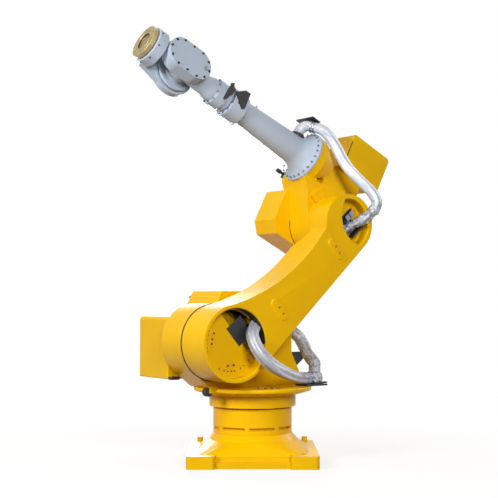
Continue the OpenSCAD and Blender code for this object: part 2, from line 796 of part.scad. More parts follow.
elbow_x = shoulder_x - arm_length * sin(lean);
elbow_z = shoulder_z + arm_length * cos(lean);
function from_shoulder(p) = [shoulder_x + p.x, arm_y1 + p.y, shoulder_z + p.z];
function in_channel(u) = [
  shoulder_x + channel_v * cos(lean) - u * sin(lean), channel_y,
  shoulder_z + channel_v * sin(lean) + u * cos(lean)
];
function from_elbow(p) = [
  elbow_x + p.x * cos(rise) - p.z * sin(rise), p.y, elbow_z + p.x * sin(rise) + p.z * cos(rise)
];

module lower_hose() color(silver) at_carousel() hose([
  in_channel(channel_low[1] - hose_gap), in_channel(channel_low[1] - 70),
  for (p = lower_route) from_shoulder(p),
  [clamp_x + clamp_half + 60, clamp_y, shelf_top + clamp_half],
  [clamp_x + clamp_half, clamp_y, shelf_top + clamp_half]
], 2);

module rear_hose() color(silver) at_carousel() hose([
  for (p = rear_route) [wall_x + p.x, p.y, p.z],
  [clamp_x, clamp_y, shelf_top + 2 * clamp_half + 50], [clamp_x, clamp_y, shelf_top + 2 * clamp_half]
], 2);

module upper_hose() color(silver) at_carousel() hose([
  in_channel(channel_top[0]), in_channel(channel_top[0] + 70), in_channel(arm_length - 30),
  for (p = upper_route) from_elbow([p.x, arm_y1 + p.y, p.z]),
  from_elbow([gland_x, 0, forearm_offset + gland_top + 25]),
  from_elbow([gland_x, 0, forearm_offset + gland_top + hose_gap])
], 2);

foot();
axis_1_housing();
levelling_bolts();
turntable_ring();
turntable_plate();
shoulder_casting();
front_motor_cover();
rear_motor_cover();
front_motor_plug();
stop_buffer();
stop_bracket();
hose_shelf();
hose_gusset();
hose_clamp();
lower_arm();
recess_plate();
elbow_hose_clamp();
elbow_casting();
elbow_front_cover();
elbow_rear_cover();
forearm_tube();
bearing_ring();
hose_gland();
hose_bridge();
limit_pin();
fixed_cable_bracket();
wrist_neck();
wrist_case();
wrist_cover();
turning_cable_bracket();
bend_drum();
flange_housing();
tool_flange();
lower_hose();
rear_hose();
upper_hose();
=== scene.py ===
from math import cos, pi, radians, sin

import bmesh
import bpy
from bmesh.types import BMEdge, BMFace, BMVert
from mathutils import Matrix, Vector, noise


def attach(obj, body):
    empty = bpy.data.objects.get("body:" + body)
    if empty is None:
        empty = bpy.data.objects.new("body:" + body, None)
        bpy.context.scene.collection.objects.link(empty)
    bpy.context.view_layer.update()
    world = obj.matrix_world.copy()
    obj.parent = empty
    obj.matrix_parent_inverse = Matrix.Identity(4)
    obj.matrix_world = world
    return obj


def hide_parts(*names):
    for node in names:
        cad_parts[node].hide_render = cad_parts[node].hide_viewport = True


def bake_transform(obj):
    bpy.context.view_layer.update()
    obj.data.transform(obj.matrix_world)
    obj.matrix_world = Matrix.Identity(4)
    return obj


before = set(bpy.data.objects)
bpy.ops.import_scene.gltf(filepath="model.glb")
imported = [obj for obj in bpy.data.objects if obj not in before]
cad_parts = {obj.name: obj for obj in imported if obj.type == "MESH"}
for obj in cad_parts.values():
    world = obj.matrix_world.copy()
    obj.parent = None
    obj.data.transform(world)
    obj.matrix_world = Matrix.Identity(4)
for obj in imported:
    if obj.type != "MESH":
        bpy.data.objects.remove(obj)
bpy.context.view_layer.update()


# Frames of the moving groups in the rest pose, as the arm stands folded back.
# Lengths are in metres and angles in degrees, unless a comment says otherwise.

CAROUSEL_TURN = 35
ARM_LEAN = -49.5
ELBOW_LEAN = 22.5
WRIST_ROLL = 15
SHOULDER_OUT, SHOULDER_UP = .310, .704
ARM_LENGTH = 1.079
FOREARM_UP = .316
BEND_OUT = 1.297


def turned(degrees, axis):
    return Matrix.Rotation(radians(degrees), 4, axis)


def shifted(x, y, z):
    return Matrix.Translation((x, y, z))


FLOOR = Matrix.Identity(4)
CAROUSEL = turned(CAROUSEL_TURN, "Z")
SHOULDER = CAROUSEL @ shifted(SHOULDER_OUT, 0, SHOULDER_UP)
LOWER_ARM = SHOULDER @ turned(ARM_LEAN, "Y")
ARM_TOP = LOWER_ARM @ shifted(0, 0, ARM_LENGTH)
ELBOW = ARM_TOP @ turned(ELBOW_LEAN, "Y")
FOREARM = ELBOW @ shifted(0, 0, FOREARM_UP)
WRIST = FOREARM @ turned(WRIST_ROLL, "X")
BEND = WRIST @ shifted(BEND_OUT, 0, 0)

X_AXIS, Y_AXIS, Z_AXIS = Vector((1, 0, 0)), Vector((0, 1, 0)), Vector((0, 0, 1))
ARM_FACE = .290      # outer face of the lower arm, along Y
RECESS_FLOOR = .220  # floor of its recess and of its mouth, along Y
HOSE_WIDE = .068


# Finishes --------------------------------------------------------------------

RING_GAP = .003      # between tool marks: wider than the real feed, so that they show
THREAD = .005        # between threads: coarser than the real weave, so that they show
FLANGE_FACE = .277   # front of the tool flange, along X from the bend axis


def linear(code):
    """An sRGB hex colour as linear red, green, blue and alpha."""
    parts = [int(code[i:i + 2], 16) / 255 for i in (1, 3, 5)]
    return [c / 12.92 if c <= .04045 else ((c + .055) / 1.055) ** 2.4 for c in parts] + [1]


def add(tree, kind, inputs=None, **settings):
    """A node with its settings; an input is a number, a colour or another node's socket."""
    made = tree.nodes.new(kind)
    for name, value in settings.items():
        setattr(made, name, value)
    for name, value in (inputs or {}).items():
        if isinstance(value, bpy.types.NodeSocket):
            tree.links.new(value, made.inputs[name])
        else:
            made.inputs[name].default_value = value
    return made


def maths(tree, how, *values):
    """One step of arithmetic."""
    return add(tree, "ShaderNodeMath", dict(enumerate(values)), operation=how).outputs[0]


def cloud(tree, place, size, detail, **more):
    """Soft noise with patches of about a size."""
    inputs = {"Vector": place, "Scale": 1 / size, "Detail": detail, **more}
    return add(tree, "ShaderNodeTexNoise", inputs).outputs["Fac"]


def mixed(tree, share, first, second):
    """A colour between two, each a hex code or another node's socket."""
    a, b = (linear(c) if isinstance(c, str) else c for c in (first, second))
    inputs = {"Factor": share, "A": a, "B": b}
    return add(tree, "ShaderNodeMix", inputs, data_type="RGBA").outputs["Result"]


def ranged(tree, value, low, high, start=0, stop=1, **settings):
    """A number that runs from low to high while the value runs from start to stop."""
    inputs = {"Value": value, "From Min": start, "From Max": stop, "To Min": low, "To Max": high}
    return add(tree, "ShaderNodeMapRange", inputs, **settings).outputs["Result"]


def bumped(tree, height, strength, deep, under=None):
    """A normal that follows a height, on top of another normal if there is one."""
    inputs = {"Height": height, "Strength": strength, "Distance": deep}
    if under:
        inputs["Normal"] = under
    return add(tree, "ShaderNodeBump", inputs).outputs["Normal"]


def new_finish(name):
    """An empty finish, its node tree and the coordinates in it."""
    finish = bpy.data.materials.new(name)
    finish.use_nodes = True
    finish.node_tree.nodes.clear()
    return finish, finish.node_tree, add(finish.node_tree, "ShaderNodeTexCoord").outputs


def finished(tree, **surface):
    """The surface shader, with its inputs named in words joined by underscores."""
    sockets = {key.replace("_", " "): value for key, value in surface.items()}
    shader = add(tree, "ShaderNodeBsdfPrincipled", sockets)
    add(tree, "ShaderNodeOutputMaterial", {"Surface": shader.outputs["BSDF"]})


def sprayed_enamel(name, deep, bright, gloss):
    """Two-part enamel sprayed on castings: an even colour under a hard clear gloss.
    The eye gets slow drifts of tone a hand wide, and orange peel of about 4 mm in reflections."""
    finish, tree, place = new_finish(name)
    drift = cloud(tree, place["Object"], .18, 3)
    haze = cloud(tree, place["Object"], .05, 4)
    peel = cloud(tree, place["Object"], .004, 2)
    finished(tree, Base_Color=mixed(tree, drift, deep, bright),
             Roughness=ranged(tree, haze, gloss - .05, gloss + .07, .3, .7),
             Normal=bumped(tree, peel, .05, .0006), IOR=1.5, Specular_IOR_Level=.15)
    return finish


def powder_coat():
    """Black polyester powder baked on steel plate: satin, with a fine even grain of about 2 mm."""
    finish, tree, place = new_finish("black_powder_coat_on_plate")
    grain = cloud(tree, place["Object"], .002, 2)
    finished(tree, Base_Color=mixed(tree, grain, "#101012", "#242528"),
             Roughness=ranged(tree, grain, .38, .56),
             Normal=bumped(tree, grain, .25, .0005), IOR=1.5)
    return finish


def moulded_rubber():
    """Moulded black rubber: matt, faintly grey where it is rubbed, with a soft 5 mm pebble."""
    finish, tree, place = new_finish("moulded_rubber")
    rub = cloud(tree, place["Object"], .02, 4)
    pebble = add(tree, "ShaderNodeTexVoronoi", {"Vector": place["Object"], "Scale": 1 / .005})
    finished(tree, Base_Color=mixed(tree, rub, "#0C0C0D", "#26262A"), Roughness=.68,
             Normal=bumped(tree, pebble.outputs["Distance"], .2, .0008), IOR=1.52)
    return finish


def chromated_steel():
    """Steel turned on a lathe and passivated yellow: metal with rings of tool marks about the
    flange's middle, and cloudy straw tones."""
    finish, tree, place = new_finish("turned_yellow_chromate_steel")
    along = BEND.to_3x3() @ X_AXIS

    def vectors(how, inputs, result="Vector"):
        return add(tree, "ShaderNodeVectorMath", inputs, operation=how).outputs[result]

    local = vectors("SUBTRACT", {0: place["Object"], 1: BEND @ (X_AXIS * FLANGE_FACE)})
    depth = vectors("DOT_PRODUCT", {0: local, 1: along}, "Value")
    radial = vectors("SUBTRACT", {0: local, 1: vectors("SCALE", {0: along, "Scale": depth})})
    reach = vectors("LENGTH", {0: radial}, "Value")
    rings = maths(tree, "SINE", maths(tree, "MULTIPLY", reach, 2 * pi / RING_GAP))
    straw = cloud(tree, place["Object"], .025, 4)
    finished(tree, Base_Color=mixed(tree, straw, "#83744B", "#C0AF82"), Metallic=.85,
             Roughness=ranged(tree, straw, .38, .54), Normal=bumped(tree, rings, .25, .0003))
    return finish


def plated(name, patch, dark, bright, dull, metal):
    """Plated screws: metal clouded by the bath in patches, duller where it is brighter."""
    finish, tree, place = new_finish(name)
    bath = cloud(tree, place["Object"], patch, 3)
    finished(tree, Base_Color=mixed(tree, bath, dark, bright), Metallic=metal,
             Roughness=ranged(tree, bath, *dull))
    return finish


def foil_sleeve():
    """Aluminised glass cloth round the cables: a satin metal film on a plain weave, pulled into
    soft lengthwise folds, with painted light and shade streaked along them, and crinkled where
    it was bunched, with painted shade in the crinkles, which each sleeve marks on its own points."""
    finish, tree, place = new_finish("aluminised_woven_sleeve")
    flat = add(tree, "ShaderNodeSeparateXYZ", {"Vector": place["UV"]}).outputs
    warp, weft = (maths(tree, "SINE", maths(tree, "MULTIPLY", flat[way], 2 * pi / THREAD))
                  for way in "XY")
    weave = maths(tree, "MULTIPLY", warp, weft)
    long = add(tree, "ShaderNodeMapping", {"Vector": place["UV"], "Scale": (1 / .2, 1 / .022, 1)})
    streak = cloud(tree, long.outputs["Vector"], 1, 3)
    crease = cloud(tree, place["Object"], .022, 5, Distortion=.8)
    bunched = add(tree, "ShaderNodeAttribute", attribute_name="crinkled").outputs["Fac"]
    # Painted light and shade: lighter and darker grey streaks along the sleeve follow the same
    # noise as the fold bump.
    fold_light_and_shade = mixed(tree, ranged(tree, streak, 0, 1, .3, .62), "#949AA6", "#CDD2DA")
    # Painted shade: the creases are darkened in colour where the sleeve is marked as crinkled.
    crease_shade = maths(tree, "MULTIPLY", ranged(tree, crease, 0, 1, .62, .38), bunched)
    cloth = bumped(tree, weave, .1, .0006)
    fold = bumped(tree, streak, .5, .008, cloth)
    finished(tree, Base_Color=mixed(tree, crease_shade, fold_light_and_shade, "#74777F"), Metallic=.35,
             Roughness=ranged(tree, crease, .42, .58, .3, .7),
             Normal=bumped(tree, crease, ranged(tree, bunched, .1, .6), .006, fold))
    return finish


YELLOW = sprayed_enamel("yellow_enamel_on_castings", "#DEAB00", "#EBBC00", .34)
GREY = sprayed_enamel("blue_grey_enamel_on_castings", "#9FACBD", "#AEBBCB", .36)
BLACK = powder_coat()
RUBBER = moulded_rubber()
GOLD = chromated_steel()
# Zinc gives bright grey heads, and black oxide dark blue-grey ones with an oily sheen.
ZINC = plated("zinc_plated_screws", .012, "#6E747E", "#A9AFBA", (.25, .42), 1.0)
DARK = plated("black_oxide_screws", .01, "#25282E", "#4A4F58", (.3, .5), .7)
FOIL = foil_sleeve()


# Castings, covers and plates -------------------------------------------------

CRISP = 40          # faces that meet at more than this are shaded apart
HARD = 24           # edges that turn by more than this are rounded
FLAT = .6           # faces that turn by less than this are one face
LONG_RUN = .09      # runs of edges longer than this get the wide rounding
TIGHT = .0015       # rounding round holes and on seams
NEAR_SEAM = .0015   # an edge this near to a seam's plane is on it
SAME_POINT = .00002

# The planes where pieces meet: a frame, one of its axes and the place along it.
SEAMS = {
    "shoulder_casting": [(CAROUSEL, 1, .054)],
    "lower_arm": [(CAROUSEL, 1, .060), (CAROUSEL, 1, .133)],
    "elbow_casting": [(CAROUSEL, 1, .127)],
    "turntable_ring": [(FLOOR, 2, .326)],
    "axis_1_housing": [(FLOOR, 2, .320), (FLOOR, 2, .170)],
    "foot": [(FLOOR, 2, 0), (FLOOR, 2, .170)],
}

# A finish and its slot, then each CAD node with its body and the width of its rounding.
CASTINGS = [
    (YELLOW, "yellow_paint", [
        ("foot", "base", .008),
        ("axis_1_housing", "base", .002),
        ("levelling_bolts", "base", .0015),
        ("turntable_ring", "carousel", .004),
        ("turntable_plate", "carousel", .006),
        ("shoulder_casting", "carousel", .010),
        ("front_motor_cover", "carousel", .006),
        ("rear_motor_cover", "carousel", .006),
        ("stop_bracket", "carousel", .002),
        ("lower_arm", "lower_arm_body", .009),
        ("elbow_casting", "upper_arm", .009),
        ("elbow_front_cover", "upper_arm", .006),
        ("elbow_rear_cover", "upper_arm", .006)]),
    (GREY, "grey_paint", [
        ("forearm_tube", "upper_arm", .003),
        ("bearing_ring", "upper_arm", .004),
        ("wrist_neck", "wrist_roll", .004),
        ("wrist_case", "wrist_roll", .008),
        ("wrist_cover", "wrist_roll", .003),
        ("bend_drum", "wrist_bend", .006),
        ("flange_housing", "wrist_bend", .006)]),
    (GOLD, "gold_flange", [("tool_flange", "tool_flange_body", .003)]),
    (RUBBER, "rubber", [("stop_buffer", "carousel", .005)]),
    (BLACK, "black_paint", [
        ("front_motor_plug", "carousel", .002),
        ("hose_shelf", "carousel", .0015),
        ("hose_gusset", "carousel", .0015),
        ("recess_plate", "lower_arm_body", .0012),
        ("elbow_hose_clamp", "lower_arm_body", .0015),
        ("hose_gland", "upper_arm", .002),
        ("hose_bridge", "upper_arm", .0012),
        ("limit_pin", "upper_arm", .0015),
        ("fixed_cable_bracket", "upper_arm", .0012),
        ("turning_cable_bracket", "wrist_roll", .0012)]),
]


def linked(name, data):
    """An object in the scene."""
    thing = bpy.data.objects.new(name, data)
    bpy.context.scene.collection.objects.link(thing)
    return thing


def placed(name, shape, finish, body, crisp=None):
    """A mesh made into a piece that rides on a body, and shaded smooth up to a crisp angle."""
    if crisp:
        for face in shape.faces:
            face.smooth = True
    mesh = bpy.data.meshes.new(name)
    shape.to_mesh(mesh)
    shape.free()
    if crisp:
        mesh.set_sharp_from_angle(angle=radians(crisp))
    mesh.materials.append(finish)
    piece = linked(name, mesh)
    if body:
        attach(piece, body)
    return piece


def only(kind, geom):
    """The vertices, edges or faces among what an operator gives back."""
    return [part for part in geom if isinstance(part, kind)]


def raised(shape, faces, rise):
    """Faces drawn out by a vector; gives back the new ones."""
    grown = bmesh.ops.extrude_face_region(shape, geom=faces)["geom"]
    bmesh.ops.translate(shape, vec=rise, verts=only(BMVert, grown))
    return only(BMFace, grown)


def edge_runs(edges):
    """Edges gathered into runs that hang together, in the same order each time."""
    left = dict.fromkeys(edges)
    runs = []
    while left:
        run, front = [], [left.popitem()[0]]
        while front:
            edge = front.pop()
            run.append(edge)
            for vert in edge.verts:
                for other in vert.link_edges:
                    if other in left:
                        del left[other]
                        front.append(other)
        runs.append(run)
    return runs


def run_size(run):
    points = [vert.co for edge in run for vert in edge.verts]
    return max((p - points[0]).length for p in points)


def on_seam(edge, seams):
    """Whether an edge lies on a plane where two pieces meet."""
    return any(all(abs((group.inverted() @ vert.co)[axis] - value) < NEAR_SEAM
                   for vert in edge.verts) for group, axis, value in seams)


def hard_edges(shape):
    return [e for e in shape.edges if e.is_manifold and e.calc_face_angle(0) > radians(HARD)]


def bevelled(shape, edges, width, segments=3, clamped=True):
    bmesh.ops.bevel(shape, geom=edges, offset=width, offset_type="OFFSET", segments=segments,
                    profile=.5, affect="EDGES", material=-1, clamp_overlap=clamped)


def rounded(node, body, finish, wide):
    """The CAD piece with its hard edges rounded: wide on long runs, tight at holes and seams."""
    shape = bmesh.new()
    shape.from_mesh(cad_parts[node].data)
    bmesh.ops.remove_doubles(shape, verts=shape.verts, dist=SAME_POINT)
    bmesh.ops.dissolve_limit(shape, angle_limit=radians(FLAT), verts=shape.verts,
                             edges=shape.edges)
    seams = SEAMS.get(node, [])
    for run in edge_runs(e for e in hard_edges(shape) if not on_seam(e, seams)):
        width = wide if run_size(run) > LONG_RUN else TIGHT
        bevelled(shape, [e for e in run if e.is_valid], width)
    if seams:
        bevelled(shape, [e for e in hard_edges(shape) if on_seam(e, seams)], TIGHT)
    piece = placed(node + "_rounded", shape, finish, body, CRISP)
    weigh = piece.modifiers.new("even_shading", "WEIGHTED_NORMAL")
    weigh.keep_sharp = True
    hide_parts(node)


for finish, slot, castings in CASTINGS:
    for node, body, wide in castings:
        rounded(node, body, finish, wide)


# Screws ----------------------------------------------------------------------

HEAD_SIDES = 16
HEAD_CRISP = 35
WASHER, CHAMFER, RIM, TAPER = .82, .07, .17, .01            # shares of a head's width
SOCKET = .55                                                # share of a head's height
TUBE_FLANGE, BEARING_BACK, BEARING_FACE = .320, .832, .944  # along X of the forearm
NECK_RING = 1.054                                           # along X of the wrist
WRIST_COVER = .120                                          # along Y of the bend axis
COVER_CIRCLE = .085                                         # round each end of the wrist cover
HOUSING_SEAT, HOUSING_REACH = .228, .110                    # along X and out from it
RECESS_OUTER, RECESS_INNER, MOUTH_CIRCLE = .158, .125, .128
TABLE_TOP, TABLE_CIRCLE = .440, .271
WASHER_LIFT = .0015                                         # of a screw in its yellow washer


def facing(group, point, normal):
    """A place on a surface: its Z axis stands out of the surface."""
    upright = Vector(normal).to_track_quat("Z", "Y").to_matrix().to_4x4()
    return group @ Matrix.Translation(point) @ upright


def polar(reach, degrees):
    return [(reach * cos(radians(a)), reach * sin(radians(a))) for a in degrees]


def corners(x0, z0, x1, z1):
    return [(x0, z0), (x1, z0), (x1, z1), (x0, z1)]


def ring_spots(group, x, reach, count, first, out=1):
    """Spots on a circle about the group's X axis, looking along it, or against it at -1."""
    angles = [first + 360 * i / count for i in range(count)]
    return [facing(group, (x, y, z), (out, 0, 0)) for y, z in polar(reach, angles)]


def side_spots(group, y, places, out=1):
    """Spots on a side face that looks along the group's Y axis, or against it at -1."""
    return [facing(group, (x, y, z), (0, out, 0)) for x, z in places]


def socket_screw(across, tall, washer):
    """A cap screw, on a washer if it has one: a chamfered head with a socket in its top."""
    shape = bmesh.new()
    if washer:
        bmesh.ops.create_circle(shape, cap_ends=True, segments=HEAD_SIDES, radius=across * WASHER)
        raised(shape, shape.faces[:], (0, 0, washer))
    ring = bmesh.ops.create_circle(shape, cap_ends=True, segments=HEAD_SIDES, radius=across / 2,
                                   matrix=shifted(0, 0, washer))
    top = raised(shape, ring["verts"][0].link_faces[:], (0, 0, tall))[0]
    bevelled(shape, top.edges[:], across * CHAMFER, 2, False)
    top = max(shape.faces, key=lambda f: f.calc_center_median().z + f.calc_area())
    bmesh.ops.inset_individual(shape, faces=[top], thickness=across * RIM, depth=0)
    bmesh.ops.inset_individual(shape, faces=[top], thickness=across * TAPER, depth=-tall * SOCKET)
    bmesh.ops.recalc_face_normals(shape, faces=shape.faces)
    return shape


def fastened(name, body, finish, spots, across, tall, washer=0):
    """One mesh of like screws, each standing on its spot."""
    head = bpy.data.meshes.new(name + "_head")
    one = socket_screw(across, tall, washer)
    one.to_mesh(head)
    one.free()
    shape = bmesh.new()
    for spot in spots:
        before = len(shape.verts)
        shape.from_mesh(head)
        shape.verts.ensure_lookup_table()
        bmesh.ops.transform(shape, matrix=spot, verts=shape.verts[before:])
    bpy.data.meshes.remove(head)
    placed(name, shape, finish, body, crisp=HEAD_CRISP)


cover_spots = [(.074 + x, z) for x, z in polar(COVER_CIRCLE, (-80, -40, 0, 40, 80))]
cover_spots += [(x - .030, z) for x, z in polar(COVER_CIRCLE, (100, 140, 180, 220, 260))]
cover_spots += [(.022, COVER_CIRCLE), (.022, -COVER_CIRCLE)]
housing_spots = [facing(BEND, (HOUSING_SEAT, HOUSING_REACH * y, HOUSING_REACH * z), (0, y, z))
                 for y, z in polar(1, range(20, 380, 45))]
recess_outer = polar(RECESS_OUTER, (-16, -8, 0, 8, 18, 27,
                                    -62, -75, -84, -93, -101, -116, -126, -142))
recess_inner = polar(RECESS_INNER, (0, 12, 27.6, -83, -100))
table_spots = [facing(CAROUSEL, (x, y, TABLE_TOP), Z_AXIS) for x, y in polar(
    TABLE_CIRCLE, (62, 70.5, 79, 87.5, -175, -166, 184, 150, 158))]
mouth_spots = [p for p in polar(MOUTH_CIRCLE, range(15, 360, 15)) if p[0] < .06]

# Each row: name, body, finish and spots, then width, height and washer of the screw.
SCREWS = [
    ("forearm_flange_screws", "upper_arm", ZINC,
     ring_spots(FOREARM, TUBE_FLANGE, .1505, 24, 7.5), .012, .006),
    ("bearing_ring_screws", "upper_arm", ZINC,
     ring_spots(FOREARM, BEARING_FACE, .0845, 12, 15), .012, .0045),
    ("bearing_ring_rear_screws", "upper_arm", ZINC,
     ring_spots(FOREARM, BEARING_BACK, .0785, 8, 10, -1), .009, .006),
    ("front_ring_screws", "wrist_roll", ZINC,
     ring_spots(WRIST, NECK_RING, .0778, 10, 9), .012, .010),
    ("wrist_cover_screws", "wrist_roll", DARK,
     side_spots(BEND, WRIST_COVER, cover_spots), .010, .006, .001),
    ("wrist_cover_plug", "wrist_roll", ZINC,
     side_spots(BEND, WRIST_COVER, [(-.092, .006)]), .019, .004, .001),
    ("flange_housing_screws", "wrist_bend", DARK, housing_spots, .010, .004),
    ("recess_screws", "lower_arm_body", DARK,
     side_spots(SHOULDER, RECESS_FLOOR, recess_outer), .009, .003),
    ("recess_inner_washers", "lower_arm_body", YELLOW,
     side_spots(SHOULDER, RECESS_FLOOR, recess_inner), .027, .003),
    ("recess_inner_screws", "lower_arm_body", DARK,
     side_spots(SHOULDER, RECESS_FLOOR + WASHER_LIFT, recess_inner), .012, .004),
    ("table_screws", "carousel", DARK, table_spots, .016, .006),
    ("mouth_screws", "lower_arm_body", YELLOW,
     side_spots(ARM_TOP, RECESS_FLOOR, mouth_spots), .011, .005, .002),
]
for row in SCREWS:
    fastened(*row)

# The far faces of covers and drums: name, body, frame, place along its Y axis, and (x, z) spots.
FAR_SCREWS = [
    ("front_motor_cover_screws", "carousel", CAROUSEL, -.495, corners(.180, .511, .460, .822)),
    ("rear_motor_cover_screws", "carousel", CAROUSEL, -.495, corners(-.190, .465, .122, .960)),
    ("elbow_front_cover_screws", "upper_arm", ELBOW, -.292,
     [(.115, .086), (.248, .086), (.222, -.126), (.002, -.144)]),
    ("elbow_rear_cover_screws", "upper_arm", ELBOW, -.100, corners(-.222, .400, .058, .586)),
    ("elbow_drum_screws", "upper_arm", ELBOW, -.193, polar(.150, range(100, 250, 20))),
    ("bend_drum_screws", "wrist_bend", BEND, -.130, polar(.092, range(0, 360, 45))),
]
for name, body, group, y, places in FAR_SCREWS:
    fastened(name, body, DARK, side_spots(group, y, places, -1), .012, .0045, .0015)


# Seals, fittings and clips, and black pieces of painted shade in hollows ---------

TURN_STEPS = 96
ON_AXIS = .00001                                # points this near are one after a turn
PANEL_IN, PANEL_SLOPE, BLOCK_EDGE = 2.2, .3, .45  # shares of a block's edge


def turned_ring(name, body, finish, group, axis, outline, first=0, sweep=360):
    """A ring, or part of one, turned from an outline of (reach, along) points about an axis."""
    shape = bmesh.new()
    across = (Z_AXIS if axis.z == 0 else X_AXIS).copy()
    across.rotate(Matrix.Rotation(radians(first), 3, axis))
    verts = [shape.verts.new(group @ (across * reach + axis * along)) for reach, along in outline]
    edges = [shape.edges.new(pair) for pair in zip(verts, verts[1:] + verts[:1])]
    bmesh.ops.spin(shape, geom=verts + edges, cent=group.translation,
                   axis=group.to_3x3() @ axis, angle=radians(sweep), steps=TURN_STEPS,
                   use_merge=sweep == 360)
    bmesh.ops.remove_doubles(shape, verts=shape.verts, dist=ON_AXIS)
    bmesh.ops.holes_fill(shape, edges=[e for e in shape.edges if e.is_boundary])
    bmesh.ops.recalc_face_normals(shape, faces=shape.faces)
    placed(name, shape, finish, body, CRISP)


def lipped(inner, outer, peak, low, high):
    """The outline of a flat ring whose rim rises to a peak half way along."""
    return [(inner, low), (outer, low), (peak, (low + high) / 2), (outer, high), (inner, high)]


shoulder_lip = [(.205, .0548), (.2222, .0548), (.2222, .0520), (.2232, .0520), (.2238, .0556),
                (.2232, .0592), (.205, .0592)]
recess_wall_shade = [(.1946, .2212), (.1964, .2212), (.1964, .2840), (.1955, .2848), (.1946, .2840)]
bore_shade = [(.0496, .2652), (.04985, .2652), (.04985, .2767), (.0496, .2767)]
turned_ring("second_axis_seal", "carousel", RUBBER, SHOULDER, Y_AXIS, shoulder_lip)
# Painted shade: a thin black rubber band on the recess wall, where the hollow arm opens, stands for
# the shade there.
turned_ring("recess_wall_painted_shade", "lower_arm_body", RUBBER, SHOULDER, Y_AXIS, recess_wall_shade, 6, -98)
turned_ring("elbow_cover_seal", "upper_arm", RUBBER, ELBOW, Y_AXIS,
            lipped(.162, .1730, .1742, -.0838, -.0772))
turned_ring("third_axis_seal", "upper_arm", RUBBER, ELBOW, Y_AXIS,
            lipped(.150, .1684, .1692, .1284, .1316))
# Painted shade: a dark sleeve on the wall of the tool flange's centring bore stands for the shade
# on that wall.
turned_ring("centring_bore_painted_shade", "tool_flange_body", DARK, BEND, X_AXIS, bore_shade)

# Small turned fittings that stand on a surface.
nipple = [(.0002, 0), (.010, 0), (.010, .004), (.006, .005), (.006, .012), (.0045, .015),
          (.0002, .015)]
boot = [(.0083, 0), (.0112, 0), (.0125, .002), (.0125, .026), (.0105, .0305), (.0083, .0305)]
turned_ring("tube_grease_nipple", "upper_arm", GREY,
            facing(FOREARM, (.745, 0, .078), Z_AXIS), Z_AXIS, nipple)
turned_ring("bearing_drain_plug", "upper_arm", GREY,
            facing(FOREARM, (.850, 0, -.091), (0, 0, -1)), Z_AXIS, nipple)
turned_ring("limit_pin_boot", "upper_arm", RUBBER,
            facing(ELBOW, (.3185, -.155, .216), X_AXIS), Z_AXIS, boot)


def plate(name, body, finish, group, outline, low, high, edge):
    """A plate cut to an outline of (x, z) corners, from low to high along Y, with rounded edges."""
    shape = bmesh.new()
    face = shape.faces.new([shape.verts.new((x, low, z)) for x, z in outline])
    raised(shape, [face], (0, high - low, 0))
    bmesh.ops.recalc_face_normals(shape, faces=shape.faces)
    bevelled(shape, hard_edges(shape), edge)
    bmesh.ops.transform(shape, matrix=group, verts=shape.verts)
    placed(name, shape, finish, body)


flap = [(.970, .052), (.970, .028), (.990, -.012), (1.004, -.040), (1.018, -.038), (1.014, .030),
        (1.004, .072)]
web = [(-.0489, .0656), (-.1012, .1100), (-.112, .086), (-.112, .040), (-.0944, .0136)]
plate("turning_bracket_flap", "wrist_roll", BLACK, FOREARM, flap, .0905, .0975, .001)
plate("recess_plate_web", "lower_arm_body", BLACK, SHOULDER, web, .2206, .2274, .0008)


def cavity_shade_sheet():
    """Painted shade: a black sheet that stands for the shade inside the hollow arm, seen where
    the hose comes out of the recess; a bowl with a straight open side."""
    reach, chord, deep, floor, sheet = .1878, .0655, .088, .1212, .0008
    shape = bmesh.new()
    bmesh.ops.create_circle(shape, cap_ends=True, segments=TURN_STEPS, radius=reach)
    bmesh.ops.bisect_plane(shape, geom=shape.verts[:] + shape.edges[:] + shape.faces[:],
                           plane_co=(0, chord, 0), plane_no=(0, -1, 0), clear_outer=True)
    top = raised(shape, shape.faces[:], (0, 0, deep))
    bmesh.ops.delete(shape, geom=top, context="FACES_ONLY")
    front = [f for f in shape.faces if abs(f.normal.y) > .99]
    bmesh.ops.delete(shape, geom=front, context="FACES_ONLY")
    bmesh.ops.recalc_face_normals(shape, faces=shape.faces)
    upright = Matrix(((1, 0, 0, 0), (0, 0, 1, floor), (0, 1, 0, 0), (0, 0, 0, 1)))
    bmesh.ops.transform(shape, matrix=LOWER_ARM @ upright, verts=shape.verts)
    bmesh.ops.reverse_faces(shape, faces=shape.faces)
    piece = placed("arm_cavity_painted_shade", shape, BLACK, "lower_arm_body")
    thick = piece.modifiers.new("sheet", "SOLIDIFY")
    thick.thickness = sheet
    thick.offset = 1


cavity_shade_sheet()


def block(name, body, finish, group, low, high, edge):
    """A block between two corners with rounded edges and a shallow panel in its outer face."""
    shape = bmesh.new()
    low, high = Vector(low), Vector(high)
    bmesh.ops.create_cube(shape, size=1)
    for vert in shape.verts:
        vert.co = (low + high) / 2 + Vector(a * b for a, b in zip(vert.co, high - low))
    outer = max(shape.faces, key=lambda f: f.calc_center_median().y)
    bmesh.ops.inset_individual(shape, faces=[outer], thickness=edge * PANEL_IN, depth=0)
    bmesh.ops.inset_individual(shape, faces=[outer], thickness=edge * PANEL_SLOPE, depth=-edge)
    bevelled(shape, hard_edges(shape), edge * BLOCK_EDGE)
    bmesh.ops.transform(shape, matrix=group, verts=shape.verts)
    placed(name, shape, finish, body, CRISP)


block("connector_frame", "lower_arm_body", BLACK, ARM_TOP, (.006, .258, -.002),
      (.054, .266, .082), .003)
block("connector_low", "lower_arm_body", ZINC, ARM_TOP, (.013, .266, .004), (.047, .282, .036),
      .003)
block("connector_high", "lower_arm_body", ZINC, ARM_TOP, (.013, .266, .042), (.047, .282, .074),
      .003)
block("rear_cover_seam_strip", "upper_arm", RUBBER, ELBOW, (.070, .0995, .455),
      (.0765, .1018, .560), .0012)


# Hoses -----------------------------------------------------------------------

